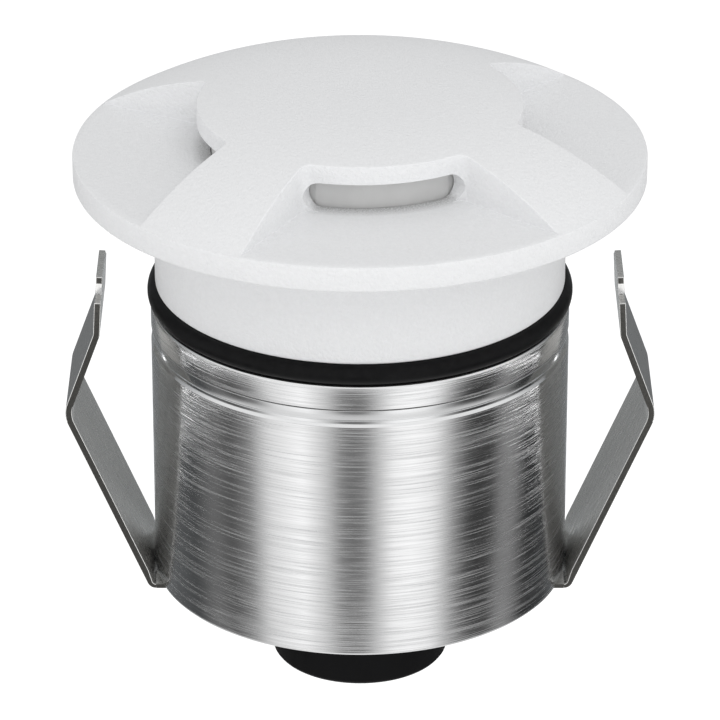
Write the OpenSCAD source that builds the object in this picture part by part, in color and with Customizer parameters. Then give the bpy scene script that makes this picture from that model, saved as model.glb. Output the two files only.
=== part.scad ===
// Round in-ground light with three side outlets, a screwed-on cap and a spring strap.
// The origin is on the axis, level with the underside of the cap's flange. +Z is up.

/* [Cap] */
// Outer diameter of the cap
cap_d = 65; // [62:0.5:72]
// Height of the cap's straight rim
rim_h = 3; // [2.4:0.1:4]
// Height of the dome above the rim
dome_h = 7; // [6.8:0.1:9]
// How flat the dome is: a higher value is flatter in the middle and steeper at the rim
dome_share = 2.8; // [2.4:0.1:3.4]
// Edge chamfer of the rim
rim_edge = 0.25; // [0.1:0.05:0.5]
// Distance from the neck's outside in to the round hub that the outlets are cut back to
hub_inset = 5.05; // [4.6:0.05:5.6]
// Thickness of the hub's wall
hub_wall = 1.5; // [1:0.1:1.7]
// Least thickness of the dome over the hub's cavity
cap_skin = 1.2; // [1:0.1:1.6]

/* [Light outlets] */
// Number of outlets
outlet_count = 3; // [1:1:4]
// Angle from one outlet to the next
outlet_step = 90; // [84:1:96]
// Turn of the first outlet from -Y towards +X
outlet_turn = 9.25; // [0:0.25:45]
// Width of an outlet where it meets the rim
outlet_w = 35.2; // [32:0.2:38]
// Angle of each side wall to the outlet's centre line
outlet_splay = 38.2; // [36:0.1:42]
// Rounding where a side wall meets the hub
outlet_round = 1.2; // [0.6:0.1:2]
// Height of the window slot
window_h = 3.15; // [2.6:0.05:3.6]
// Height of the window's lower edge over the outlet's floor
window_lift = 0.3; // [0.2:0.05:0.8]
// Share of the outlet's width at the hub that the window spans
window_share = 1; // [0.6:0.01:1]

/* [Neck and seal] */
// Diameter of the cap's neck
neck_d = 46.9; // [46.4:0.1:47.4]
// Height of the neck, from the flange to its shoulder
neck_h = 12.95; // [10:0.05:20]
// Squeezed height of the seal
seal_h = 2.45; // [2.2:0.05:2.5]
// Thickness of the seal's round section before it is squeezed
seal_t = 2.6; // [2.55:0.05:2.8]
// How far the seal stands out past the can
seal_out = 0.35; // [0.25:0.05:0.5]
// Gap between the seal and the spigot that it sits round
seal_gap = 0.3; // [0.2:0.05:0.5]
// Step in radius from the neck in to the spigot's thread
spigot_step = 0.95; // [0.8:0.05:1.1]
// Length of the spigot below the shoulder
spigot_h = 9.55; // [8:0.05:12]
// Pitch of the spigot's thread
thread_pitch = 1.5; // [1:0.25:2]
// Depth of the spigot's thread
thread_depth = 0.55; // [0.3:0.05:0.8]
// Thickness of the spigot's wall
spigot_wall = 2.6; // [2.3:0.05:3]
// Radial gap of a screwed joint
thread_gap = 0.08; // [0.05:0.01:0.1]

/* [Can] */
// Step in radius from the neck out to the can
can_step = 0.55; // [0.4:0.05:0.8]
// Free height in the can, from the driver board down to the floor
can_room = 12.7; // [12.4:0.1:18]
// Thickness of the can's wall below the heat sink
can_wall = 2.2; // [1.8:0.1:2.6]
// Thickness of the can's floor
can_floor = 2; // [1.5:0.1:3]
// Chamfer on the can's top and bottom edges
can_edge = 0.3; // [0.2:0.05:0.4]
// Distance from the can's top edge to the turned band
band_drop = 2.9; // [2:0.1:4]
// Height of the band's tapered part
band_taper = 1.3; // [0.8:0.1:2]
// Height of the band's bevel below the taper
band_bevel = 0.85; // [0.5:0.05:1.5]
// Depth of the turned band
band_depth = 0.15; // [0.1:0.05:0.4]

/* [Spring strap] */
// Width of the strip
strip_w = 14; // [12:0.5:15]
// Thickness of the strip
strip_t = 0.5; // [0.4:0.05:0.7]
// Inner radius of the bend under the can's edge
foot_bend = 0.55; // [0.5:0.05:0.8]
// Distance from the can's edge back to the start of the foot bend
foot_inset = 0.28; // [0.2:0.02:0.3]
// Outward lean of the lower arm
arm_lean = 23; // [20:1:28]
// Length of the lower arm
arm_len = 22.7; // [18:0.1:24]
// Inner radius of the bend at the apex
apex_bend = 2; // [1:0.1:3]
// Inward lean of the upper arm
upper_lean = 20; // [14:1:24]
// Length of the upper arm
upper_len = 9.7; // [7:0.1:10]
// Inward lean of the lip
lip_lean = 3; // [0:1:6]
// Inner radius of the bend below the lip
lip_bend = 0.5; // [0.3:0.1:1]
// Length of the lip with its tab
lip_len = 5.65; // [4.5:0.05:6]
// Width of the tab on the lip
tab_w = 7.5; // [5:0.5:9]
// Height of the tab
tab_h = 1.75; // [1:0.05:2.5]
// Rounding at the foot of the tab
tab_round = 1.2; // [0.5:0.1:1.5]
// Distance from the gland's outside in to the edge of the strap's round pad
pad_inset = 0.45; // [0.2:0.05:1.5]

/* [Diffuser] */
// Gap between the diffuser and the hub's bore
diffuser_gap = 0.2; // [0.1:0.05:0.4]
// Wall thickness of the diffuser
diffuser_t = 1.6; // [1.2:0.1:2]
// Gap between the diffuser's top and the hub's ceiling
diffuser_top_gap = 0.5; // [0.3:0.1:1]
// Thickness of the diffuser's flange
diffuser_flange_t = 1.8; // [1.4:0.1:2.4]
// Thickness of the diffuser's gasket
gasket_t = 0.8; // [0.5:0.1:1.2]
// Depth of the gasket's seat below the flange level
gasket_seat = 0.8; // [0.5:0.1:1.5]
// Height of the retaining ring
ring_h = 2.5; // [2:0.1:3]
// Width of the retaining ring
ring_w = 3.2; // [2.6:0.1:3.6]
// Width of the retaining ring's two key slots
ring_slot_w = 2.4; // [1.5:0.1:3]

/* [Light engine] */
// Depth of the board's top face below the flange level
led_drop = 9.1; // [8:0.1:11]
// Distance from the column's outside in to the edge of the board
led_board_inset = 0.5; // [0.3:0.1:1]
// Thickness of the boards
board_t = 1.6; // [1:0.1:2]
// Thickness of the thermal pad
pad_t = 0.3; // [0.2:0.05:0.5]
// Side of one light-emitting package
led_w = 3.5; // [2.8:0.1:5]
// Height of one light-emitting package
led_h = 0.7; // [0.5:0.1:1]
// Place of the packages between the axis and the reflector's foot
led_place_share = 0.53; // [0.45:0.01:0.6]
// Distance from the reflector's foot out to the heat sink's column
column_rim = 1.85; // [1.4:0.05:2]
// Depth of the heat sink's cooling grooves
fin_depth = 2; // [1:0.25:2.5]
// Thickness of the heat sink's flange
sink_flange_t = 2.5; // [2:0.1:3]
// Radial gap between the heat sink's flange and the can
sink_gap = 0.1; // [0.05:0.01:0.2]
// Free height between the spigot and the snap ring
spigot_clear = 2; // [1.5:0.1:3]
// Thickness of the snap ring
snap_t = 1; // [0.8:0.1:1.2]
// Depth of the snap ring's groove in the can
snap_groove = 0.5; // [0.3:0.05:0.7]
// Width of the snap ring's band
snap_w = 1.7; // [1.4:0.1:2]
// Wall thickness of the reflector
reflector_t = 0.8; // [0.6:0.1:1.2]
// Gap between the reflector and the diffuser
reflector_gap = 0.4; // [0.3:0.05:0.6]
// Height of the reflector
reflector_h = 8.2; // [6:0.1:9]
// Diameter of the board's screws
screw_d = 2; // [1.6:0.1:2.5]

/* [Driver] */
// Radial gap between the driver board and the can
driver_gap = 1.3; // [0.8:0.1:2]
// Length of the spacers between heat sink and driver board
spacer_h = 5; // [4:0.1:6]
// Distance from the driver board's edge in to the spacers
spacer_inset = 3.5; // [3:0.1:4]
// Diameter of the capacitor
capacitor_d = 8; // [6.3:0.1:8.5]
// Height of the capacitor
capacitor_h = 8; // [6:0.1:8]
// Diameter of the inductor
inductor_d = 8.6; // [7:0.1:9]
// Height of the inductor
inductor_h = 6.6; // [5:0.1:7.5]
// Length of the terminal block
terminal_w = 10; // [8:0.5:11]
// Depth of the terminal block
terminal_d = 7; // [6:0.5:7.5]
// Height of the terminal block
terminal_h = 6.6; // [5:0.1:7.5]
// Diameter of an insulated lead
lead_d = 1.3; // [1:0.1:1.6]

/* [Cable gland] */
// Diameter of the cable that the gland takes
cable_d = 7; // [5:0.1:7.2]
// Outer diameter of the gland
gland_d = 20.5; // [20:0.1:22]
// Height of the gland below the strap
gland_h = 11.1; // [10:0.1:13]
// Thickness of the gland body's flange
gland_flange_t = 2.5; // [2:0.1:3]
// Diameter of the gland's threaded shank
shank_d = 12; // [11.5:0.1:12.4]
// Width of the lock nut across its flats
nut_flats = 16; // [15:0.1:17]
// Height of the lock nut
nut_h = 3; // [2.4:0.1:3.2]
// Thickness of the rubber washer under the lock nut
washer_t = 1; // [0.6:0.1:1.2]
// Diameter of the gland body's lower thread
gland_neck_d = 16; // [15.6:0.1:16.4]
// Gap between the gland cap and the flange
gland_cap_gap = 0.3; // [0.2:0.05:0.6]
// Thickness of the gland cap's end wall
gland_end_t = 1.4; // [1:0.1:2]
// Thickness of the slip washer
slip_t = 0.6; // [0.4:0.1:0.8]
// Diameter of the grommet
grommet_d = 12.2; // [11.8:0.1:12.4]
// How far the grommet stands out of the gland body
grommet_out = 0.6; // [0.4:0.1:0.8]
// Depth of the gland body's neck above the grommet
grommet_seat = 1; // [0.6:0.1:2]

/* [Hidden] */
$fn = 96;

// One overrun for every cut that passes through a face
cut = 1;
// Clearance round a screw or a lead in its hole
hole_gap = 0.1;
// Clearance between the cable and the parts that it passes
cable_gap = 0.4;
// How far a rounding laps over the faces that it joins
round_lap = 0.002;
// Steps in which the strip's bends are drawn
bend_steps = 16;

// Radii and heights of the cap
cap_r = cap_d / 2;
neck_r = neck_d / 2;
hub_r = neck_r - hub_inset;
hub_bore_r = hub_r - hub_wall;
spigot_r = neck_r - spigot_step;
bore_r = spigot_r - spigot_wall;
can_r = neck_r + can_step;
dome_rings = 30;
ring_spread_share = 0.6;
shoulder_z = -neck_h;
spigot_end_z = shoulder_z - spigot_h;
seat_z = -gasket_seat;
ceiling_z = dome_z(hub_bore_r) - cap_skin;
thread_z = shoulder_z - seal_h - 2 * thread_depth;
thread_turns = floor((thread_z - spigot_end_z) / thread_pitch + 0.1);

// The seal: a round section cut flat where it is squeezed
seal_r = can_r + seal_out - seal_t / 2;
seal_seat_r = seal_r - seal_t / 2 - seal_gap;
can_top_z = shoulder_z - seal_h;

// Radii and heights in the can
mouth_r = spigot_r + thread_gap;
ledge_bore_r = can_r - can_wall;
snap_top_z = spigot_end_z - spigot_clear;
flange_top_z = snap_top_z - snap_t;
ledge_z = flange_top_z - sink_flange_t;
sink_r = mouth_r - sink_gap;
driver_top_z = ledge_z - spacer_h;
driver_z = driver_top_z - board_t;
can_floor_z = driver_z - can_room;
can_end_z = can_floor_z - can_floor;

// The outlets: a wedge whose tip lies beyond the axis, cut back to the hub
outlet_half = outlet_w / 2;
outlet_far = cap_r + cut;
wedge_tip = sqrt(pow(cap_r, 2) - pow(outlet_half, 2)) - outlet_half / tan(outlet_splay);
wedge_side = (outlet_far - wedge_tip) * tan(outlet_splay);
wedge_fit = wedge_tip * cos(outlet_splay);
round_fit = outlet_round - round_lap;
round_run = sqrt(pow(wedge_fit, 2) - pow(wedge_tip, 2) - pow(round_fit, 2)
    - 2 * wedge_tip * round_fit * sin(outlet_splay) + pow(hub_r + round_fit, 2)) - wedge_fit;
corner_run = sqrt(pow(hub_r, 2) - pow(wedge_tip * sin(outlet_splay), 2)) - wedge_fit;
window_z = rim_h + window_lift;
window_end = window_h / 2;
window_swing = 2 * window_share * asin(corner_run * sin(outlet_splay) / hub_r)
    - 2 * asin(window_end / hub_r);

// Heights of the diffuser and of what holds it
flange_r = bore_r - diffuser_gap;
diffuser_r = hub_bore_r - diffuser_gap;
diffuser_bore_r = diffuser_r - diffuser_t;
diffuser_top_z = ceiling_z - diffuser_top_gap;
flange_z = seat_z - gasket_t;
ring_z = flange_z - diffuser_flange_t;
ring_end_z = ring_z - ring_h;

// Heights of the light engine
led_z = -led_drop;
led_foot_z = led_z - board_t;
column_z = led_foot_z - pad_t;
fin_count = 4;
fin_zone = column_z - flange_top_z;
fin_pitch = fin_zone / (fin_count + 1);
reflector_top_r = diffuser_bore_r - reflector_gap;
reflector_foot_r = reflector_top_r - reflector_h / 4;
screw_head_r = 0.9 * screw_d;
screw_head_h = 0.55 * screw_d;
board_screw_h = 3 * screw_d;
board_screw_r = reflector_foot_r - reflector_t - screw_head_r - 2 * hole_gap;
column_r = reflector_foot_r + column_rim;
led_board_r = column_r - led_board_inset;
led_r = led_place_share * reflector_foot_r;
board_turn = outlet_turn - outlet_step / 2;
lead_r = lead_d / 2;
lead_place_r = 0.62 * column_r;
lead_swing = 9;

// Places of the driver's parts
driver_r = ledge_bore_r - driver_gap;
spacer_r = driver_r - spacer_inset;
spacer_count = 3;
spacer_hex_r = 2;
spacer_turn = 90;
parts_r = 11;
small_parts_r = 3.4;
capacitor_angle = 30;
inductor_angle = 150;
terminal_angle = 270;
chip_w = 4.9;
chip_d = 3.9;
chip_h = 1.5;
chip_angle = 240;
rectifier_w = 4.6;
rectifier_d = 3.8;
rectifier_h = 1.8;
rectifier_angle = 60;
core_rim = 1;
core_neck_share = 0.5;
terminal_hole_r = 1.1;
terminal_pitch_share = 0.5;
terminal_screw_r = 1.3;
terminal_screw_h = 1;

// The strap and its arms
strip_half = strip_w / 2;
foot_x = can_r - foot_inset;
foot_z = can_end_z - strip_t;
foot_centre = [foot_x, can_end_z + foot_bend];
arm_heading = 90 - arm_lean;
upper_heading = 90 + upper_lean;
lip_heading = 90 + lip_lean;
arm_way = [cos(arm_heading), sin(arm_heading)];
upper_way = [cos(upper_heading), sin(upper_heading)];
lip_way = [cos(lip_heading), sin(lip_heading)];
apex_centre = foot_centre + arm_len * arm_way + (apex_bend - foot_bend) * inner_side(arm_heading);
lip_centre = apex_centre + upper_len * upper_way
    - (apex_bend + strip_t + lip_bend) * inner_side(upper_heading);
lip_foot = lip_centre + (lip_bend + strip_t) * inner_side(lip_heading);

// Heights of the gland
cable_r = cable_d / 2;
cable_way_r = cable_r + cable_gap;
gland_r = gland_d / 2;
shank_r = shank_d / 2;
shank_end_z = can_floor_z + washer_t + nut_h + thread_depth;
flange_foot_z = foot_z - gland_flange_t;
gland_end_z = foot_z - gland_h;
gland_floor_z = gland_end_z + gland_end_t;
slip_z = gland_floor_z + slip_t;
gland_neck_z = slip_z + grommet_out;
gland_neck_r = gland_neck_d / 2;
grommet_r = grommet_d / 2;
grommet_top_z = flange_foot_z - grommet_seat;
gland_edge = 0.3;

// Height of the dome's surface at a distance from the axis
function dome_z(r) = rim_h + dome_h * (1 - pow(r / cap_r, dome_share));

// Direction of an outlet, as a turn from +X
function outlet_heading(i) = outlet_turn - 90 + (i - 1) * outlet_step;

// Section of a thread's crests and roots, as rings, from high to low
function thread_points(r, top, turns) = [for (i = [0 : turns - 1])
    each [[r, top - i * thread_pitch], [r - thread_depth, top - (i + 0.5) * thread_pitch]]];

// Half of the cap's section: the dome, the rim, the neck, the threaded spigot and the bore
function cap_section() = [
    for (i = [0 : dome_rings])
        let (r = (cap_r - rim_edge) * pow(i / dome_rings, ring_spread_share)) [r, dome_z(r)],
    [cap_r, rim_h - rim_edge],
    [cap_r, rim_edge],
    [cap_r - rim_edge, 0],
    [neck_r, 0],
    [neck_r, shoulder_z + rim_edge],
    [neck_r - rim_edge, shoulder_z],
    [seal_seat_r, shoulder_z],
    [seal_seat_r, can_top_z - thread_depth],
    each thread_points(spigot_r, thread_z, thread_turns),
    [spigot_r - thread_depth, spigot_end_z],
    [bore_r, spigot_end_z],
    [bore_r, seat_z],
    [hub_bore_r, seat_z],
    [hub_bore_r, ceiling_z],
    [0, ceiling_z]];

// The rounded corner between the hub and one side wall of an outlet, which stays on the cap
module outlet_corner(side) {
    wall = [cos(outlet_splay), side * sin(outlet_splay)];
    inward = [sin(outlet_splay), -side * cos(outlet_splay)];
    tip = [wedge_tip, 0];
    on_wall = tip + round_run * wall;
    middle = on_wall + round_fit * inward;
    in_hub = middle * (hub_r - cut) / (hub_r + round_fit);
    difference() {
        polygon([middle, on_wall - cut * inward, tip - cut * inward, in_hub]);
        translate(middle) circle(outlet_round);
    }
}

// Plan of one outlet, pointing along +X
module outlet_plan() {
    difference() {
        polygon([[wedge_tip, 0], [outlet_far, wedge_side], [outlet_far, -wedge_side]]);
        circle(hub_r);
        outlet_corner(1);
        outlet_corner(-1);
    }
}

// One window slot through the hub's wall, with round ends, pointing along +X
module window_cut() {
    way = hub_wall + 2 * cut;
    rotate(-window_swing / 2) rotate_extrude(angle = window_swing)
        translate([hub_bore_r - cut, window_z]) square([way, window_h]);
    for (turn = [-1, 1])
        rotate(turn * window_swing / 2) translate([hub_bore_r - cut, 0, window_z + window_end])
            rotate([0, 90, 0]) cylinder(r = window_end, h = way);
}

module trim_cap() {
    color("gainsboro") difference() {
        rotate_extrude() polygon(cap_section());
        for (i = [0 : outlet_count - 1]) rotate(outlet_heading(i)) {
            translate([0, 0, rim_h]) linear_extrude(dome_h + cut) outlet_plan();
            window_cut();
        }
    }
}

module diffuser() {
    edge = diffuser_t / 2;
    color("whitesmoke") rotate_extrude() polygon([
        [0, diffuser_top_z],
        [diffuser_r - edge, diffuser_top_z],
        [diffuser_r, diffuser_top_z - edge],
        [diffuser_r, flange_z],
        [flange_r, flange_z],
        [flange_r, ring_z],
        [diffuser_bore_r, ring_z],
        [diffuser_bore_r, diffuser_top_z - diffuser_t],
        [0, diffuser_top_z - diffuser_t]]);
}

module diffuser_gasket() {
    color("silver") translate([0, 0, flange_z]) difference() {
        cylinder(r = flange_r, h = gasket_t);
        translate([0, 0, -cut]) cylinder(r = hub_bore_r + diffuser_gap, h = gasket_t + 2 * cut);
    }
}

module retaining_ring() {
    ring_r = bore_r - thread_gap;
    slot_in = ring_r - ring_slot_w / 2;
    color("lightgray") translate([0, 0, ring_end_z]) difference() {
        cylinder(r = ring_r, h = ring_h);
        translate([0, 0, -cut]) cylinder(r = ring_r - ring_w, h = ring_h + 2 * cut);
        for (side = [0, 180]) rotate(side)
            translate([slot_in - ring_slot_w / 2, -ring_slot_w / 2, -cut])
                cube([ring_slot_w + cut, ring_slot_w, ring_h / 2 + cut]);
    }
}

module neck_seal() {
    color("black") rotate_extrude() intersection() {
        translate([seal_r, shoulder_z - seal_h / 2]) circle(d = seal_t);
        translate([seal_r - seal_t, can_top_z]) square([2 * seal_t, seal_h]);
    }
}

module can() {
    band_z = can_top_z - band_drop;
    groove_z = band_z - band_taper;
    step = band_depth / 3;
    snap_r = mouth_r + snap_groove;
    color("silver") difference() {
        rotate_extrude() polygon([
            [0, can_floor_z],
            [ledge_bore_r, can_floor_z],
            [ledge_bore_r, ledge_z],
            [mouth_r, ledge_z],
            [mouth_r, flange_top_z],
            [snap_r, flange_top_z],
            [snap_r, snap_top_z],
            [mouth_r, snap_top_z],
            [mouth_r, can_top_z],
            [can_r - can_edge, can_top_z],
            [can_r, can_top_z - can_edge],
            [can_r, band_z],
            [can_r - step, band_z],
            [can_r - band_depth, groove_z],
            [can_r, groove_z - band_bevel],
            [can_r, can_end_z + can_edge],
            [can_r - can_edge, can_end_z],
            [0, can_end_z]]);
        translate([0, 0, can_end_z - cut])
            cylinder(r = shank_r + thread_gap, h = can_floor + 2 * cut);
    }
}

// Places of the two leads that pass up through the heat sink
module at_leads() {
    for (side = [-1, 1]) rotate(board_turn + 90 + side * lead_swing)
        translate([lead_place_r, 0, 0]) children();
}

// Places of the two screws that hold the light board
module at_board_screws() {
    for (side = [0, 180]) rotate(board_turn + side) translate([board_screw_r, 0, 0]) children();
}

// Places of the spacers between heat sink and driver board
module at_spacers() {
    for (i = [0 : spacer_count - 1]) rotate(spacer_turn + i * 360 / spacer_count)
        translate([spacer_r, 0, 0]) children();
}

module heat_sink() {
    color("darkgray") difference() {
        union() {
            translate([0, 0, ledge_z]) cylinder(r = sink_r, h = sink_flange_t);
            translate([0, 0, flange_top_z]) cylinder(r = column_r, h = fin_zone);
        }
        for (i = [0 : fin_count - 1])
            translate([0, 0, flange_top_z + (i + 0.75) * fin_pitch]) difference() {
                cylinder(r = column_r + cut, h = fin_pitch / 2);
                cylinder(r = column_r - fin_depth, h = fin_pitch / 2);
            }
        translate([0, 0, ledge_z - cut])
            at_leads() cylinder(r = lead_r + hole_gap, h = column_z - ledge_z + 2 * cut);
        translate([0, 0, led_z - board_screw_h - hole_gap])
            at_board_screws() cylinder(d = screw_d + 2 * hole_gap, h = board_screw_h);
        translate([0, 0, ledge_z - cut])
            at_spacers() cylinder(d = screw_d + 2 * hole_gap, h = sink_flange_t / 2 + cut);
    }
}

module snap_ring() {
    outer_r = mouth_r + snap_groove - thread_gap;
    inner_r = outer_r - snap_w;
    gap_w = 2 * snap_w;
    ear_r = snap_w;
    ear_turn = atan2(gap_w / 2 + ear_r, inner_r);
    color("dimgray") translate([0, 0, flange_top_z]) difference() {
        union() {
            difference() {
                cylinder(r = outer_r, h = snap_t);
                translate([0, 0, -cut]) cylinder(r = inner_r, h = snap_t + 2 * cut);
            }
            for (side = [-1, 1]) rotate(side * ear_turn)
                translate([inner_r, 0, 0]) cylinder(r = ear_r, h = snap_t);
        }
        translate([inner_r - 2 * ear_r, -gap_w / 2, -cut])
            cube([snap_w + 3 * ear_r, gap_w, snap_t + 2 * cut]);
        for (side = [-1, 1]) rotate(side * ear_turn)
            translate([inner_r, 0, -cut]) cylinder(r = ear_r / 2, h = snap_t + 2 * cut);
    }
}

module thermal_pad() {
    color("lightblue") translate([0, 0, column_z]) difference() {
        cylinder(r = led_board_r, h = pad_t);
        translate([0, 0, -cut]) {
            at_leads() cylinder(r = lead_r + hole_gap, h = pad_t + 2 * cut);
            at_board_screws() cylinder(d = screw_d + 2 * hole_gap, h = pad_t + 2 * cut);
        }
    }
}

module led_board() {
    color("white") translate([0, 0, led_foot_z]) difference() {
        cylinder(r = led_board_r, h = board_t);
        translate([0, 0, -cut]) {
            at_leads() cylinder(r = lead_r + hole_gap, h = board_t + 2 * cut);
            at_board_screws() cylinder(d = screw_d + 2 * hole_gap, h = board_t + 2 * cut);
        }
    }
}

module led_chips() {
    lens_h = led_h / 3;
    color("khaki") for (i = [0 : outlet_count - 1]) rotate(outlet_heading(i))
        translate([led_r, 0, led_z]) {
            translate([-led_w / 2, -led_w / 2, 0]) cube([led_w, led_w, led_h]);
            translate([0, 0, led_h]) cylinder(d = 0.8 * led_w, h = lens_h);
        }
}

// A pan-head screw whose head sits on z = 0, with its shank below
module pan_screw(shank_h) {
    difference() {
        union() {
            cylinder(r = screw_head_r, h = screw_head_h);
            translate([0, 0, -shank_h]) cylinder(d = screw_d, h = shank_h);
        }
        for (turn = [0, 90]) rotate(turn)
            translate([-screw_head_r / 2, -screw_d / 10, screw_head_h / 2])
                cube([screw_head_r, screw_d / 5, screw_head_h]);
    }
}

module board_screws() {
    color("dimgray") translate([0, 0, led_z]) at_board_screws() pan_screw(board_screw_h);
}

module reflector() {
    color("white") translate([0, 0, led_z]) rotate_extrude() polygon([
        [reflector_foot_r - reflector_t, 0],
        [reflector_foot_r, 0],
        [reflector_top_r, reflector_h],
        [reflector_top_r - reflector_t, reflector_h]]);
}

module driver_spacers() {
    color("goldenrod") translate([0, 0, driver_top_z]) at_spacers() difference() {
        cylinder(r = spacer_hex_r, h = spacer_h, $fn = 6);
        translate([0, 0, -cut]) cylinder(d = screw_d + 2 * hole_gap, h = spacer_h + 2 * cut);
    }
}

module driver_board() {
    color("darkgreen") translate([0, 0, driver_z]) difference() {
        cylinder(r = driver_r, h = board_t);
        translate([0, 0, -cut])
            at_spacers() cylinder(d = screw_d + 2 * hole_gap, h = board_t + 2 * cut);
    }
}

module driver_screws() {
    shank_h = board_t + spacer_h + sink_flange_t / 4;
    color("silver") translate([0, 0, driver_z]) at_spacers()
        mirror([0, 0, 1]) pan_screw(shank_h);
}

// Puts a part on the underside of the driver board, with +Z pointing down and +X outwards
module under_board(turn, place_r) {
    translate([0, 0, driver_z]) rotate(turn) translate([place_r, 0, 0])
        mirror([0, 0, 1]) children();
}

module capacitor() {
    edge = capacitor_d / 16;
    color("midnightblue") under_board(capacitor_angle, parts_r) rotate_extrude() polygon([
        [0, 0],
        [capacitor_d / 2 - edge, 0],
        [capacitor_d / 2, edge],
        [capacitor_d / 2, 2 * edge],
        [capacitor_d / 2 - edge, 3 * edge],
        [capacitor_d / 2, 4 * edge],
        [capacitor_d / 2, capacitor_h - edge],
        [capacitor_d / 2 - edge, capacitor_h],
        [0, capacitor_h]]);
}

module inductor_core() {
    color("dimgray") under_board(inductor_angle, parts_r) {
        cylinder(d = inductor_d, h = core_rim);
        cylinder(d = core_neck_share * inductor_d, h = inductor_h);
        translate([0, 0, inductor_h - core_rim]) cylinder(d = inductor_d, h = core_rim);
    }
}

module inductor_winding() {
    winding_h = inductor_h - 2 * core_rim - 2 * hole_gap;
    color("peru") under_board(inductor_angle, parts_r) translate([0, 0, core_rim + hole_gap]) difference() {
        cylinder(d = inductor_d - core_rim, h = winding_h);
        translate([0, 0, -cut])
            cylinder(d = core_neck_share * inductor_d + 2 * hole_gap, h = winding_h + 2 * cut);
    }
}

module rectifier() {
    color("black") under_board(rectifier_angle, small_parts_r)
        translate([-rectifier_w / 2, -rectifier_d / 2, 0])
            cube([rectifier_w, rectifier_d, rectifier_h]);
}

module driver_chip() {
    color("black") under_board(chip_angle, small_parts_r)
        translate([-chip_w / 2, -chip_d / 2, 0])
            cube([chip_w, chip_d, chip_h]);
}

// Places of the two poles of the terminal block, on its lower face
module at_poles() {
    for (side = [-1, 1])
        translate([0, side * terminal_pitch_share * terminal_w / 2, 0]) children();
}

module terminal_block() {
    color("seagreen") under_board(terminal_angle, parts_r) difference() {
        translate([-terminal_d / 2, -terminal_w / 2, 0]) cube([terminal_d, terminal_w, terminal_h]);
        translate([terminal_d / 4, 0, terminal_h - terminal_screw_h]) at_poles()
            cylinder(r = terminal_screw_r + hole_gap, h = terminal_screw_h + cut);
        translate([-terminal_d / 2 - cut, 0, terminal_h / 2]) at_poles()
            rotate([0, 90, 0]) cylinder(r = terminal_hole_r, h = terminal_d / 2 + cut);
    }
}

module terminal_screws() {
    color("silver") under_board(terminal_angle, parts_r)
        translate([terminal_d / 4, 0, terminal_h - terminal_screw_h]) at_poles() difference() {
            cylinder(r = terminal_screw_r, h = terminal_screw_h);
            translate([-terminal_screw_r, -terminal_screw_r / 6, terminal_screw_h / 2])
                cube([2 * terminal_screw_r, terminal_screw_r / 3, terminal_screw_h]);
        }
}

module led_leads() {
    color("firebrick") translate([0, 0, driver_top_z])
        at_leads() cylinder(r = lead_r, h = led_z + led_h - driver_top_z);
}

// Direction at a right angle to a heading, towards the strip's inner face
function inner_side(heading) = [-sin(heading), cos(heading)];

// Points round a bend of the strip, from one heading to another. A radius below zero bends it outwards
function bend_points(centre, radius, from, to) = [for (i = [0 : bend_steps])
    centre - radius * inner_side(from + (to - from) * i / bend_steps)];

// Points of a list from the last to the first
function backwards(points) = [for (i = [len(points) - 1 : -1 : 0]) points[i]];

// The lip's two cut-outs, which leave the narrower tab. +X points up the lip
module tab_cuts() {
    side_w = (strip_w - tab_w) / 2;
    shoulder = lip_len - tab_h;
    for (side = [-1, 1]) scale([1, side]) difference() {
        translate([shoulder, strip_half - side_w]) square([tab_h + cut, side_w + cut]);
        difference() {
            translate([shoulder - cut, strip_half - side_w - cut])
                square([cut + tab_round - round_lap, cut + tab_round - round_lap]);
            translate([shoulder + tab_round - round_lap, strip_half - side_w + tab_round - round_lap])
                circle(tab_round);
        }
    }
}

// The arm on the +X side: its foot bend, lower arm, apex, upper arm and lip
module spring_arm() {
    color("gray") difference() {
        translate([0, strip_half, 0]) rotate([90, 0, 0]) linear_extrude(strip_w) polygon(concat(
            bend_points(foot_centre, foot_bend, 0, arm_heading),
            bend_points(apex_centre, apex_bend, arm_heading, upper_heading),
            bend_points(lip_centre, -lip_bend - strip_t, upper_heading, lip_heading),
            [lip_foot + lip_len * lip_way],
            [lip_foot + lip_len * lip_way - strip_t * inner_side(lip_heading)],
            backwards(bend_points(lip_centre, -lip_bend, upper_heading, lip_heading)),
            backwards(bend_points(apex_centre, apex_bend + strip_t, arm_heading, upper_heading)),
            backwards(bend_points(foot_centre, foot_bend + strip_t, 0, arm_heading))));
        translate([lip_foot[0], 0, lip_foot[1]]) rotate([0, -lip_heading, 0])
            translate([0, 0, -strip_t - cut]) linear_extrude(strip_t + 2 * cut) tab_cuts();
    }
}

module right_spring_arm() {
    spring_arm();
}

module left_spring_arm() {
    mirror([1, 0, 0]) spring_arm();
}

module spring_strap() {
    color("gray") translate([0, 0, foot_z]) difference() {
        union() {
            translate([-foot_x, -strip_half, 0]) cube([2 * foot_x, strip_w, strip_t]);
            cylinder(r = gland_r - pad_inset, h = strip_t);
        }
        translate([0, 0, -cut]) cylinder(r = shank_r + thread_gap, h = strip_t + 2 * cut);
    }
}

module gland_body() {
    color("black") difference() {
        union() {
            translate([0, 0, foot_z]) cylinder(r = shank_r, h = shank_end_z - foot_z);
            translate([0, 0, flange_foot_z]) cylinder(r = gland_r, h = gland_flange_t);
            translate([0, 0, gland_neck_z])
                cylinder(r = gland_neck_r, h = flange_foot_z - gland_neck_z);
        }
        translate([0, 0, gland_neck_z - cut])
            cylinder(r = cable_way_r, h = shank_end_z - gland_neck_z + 2 * cut);
        translate([0, 0, gland_neck_z - cut])
            cylinder(r = grommet_r + hole_gap, h = grommet_top_z - gland_neck_z + cut);
    }
}

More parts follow.
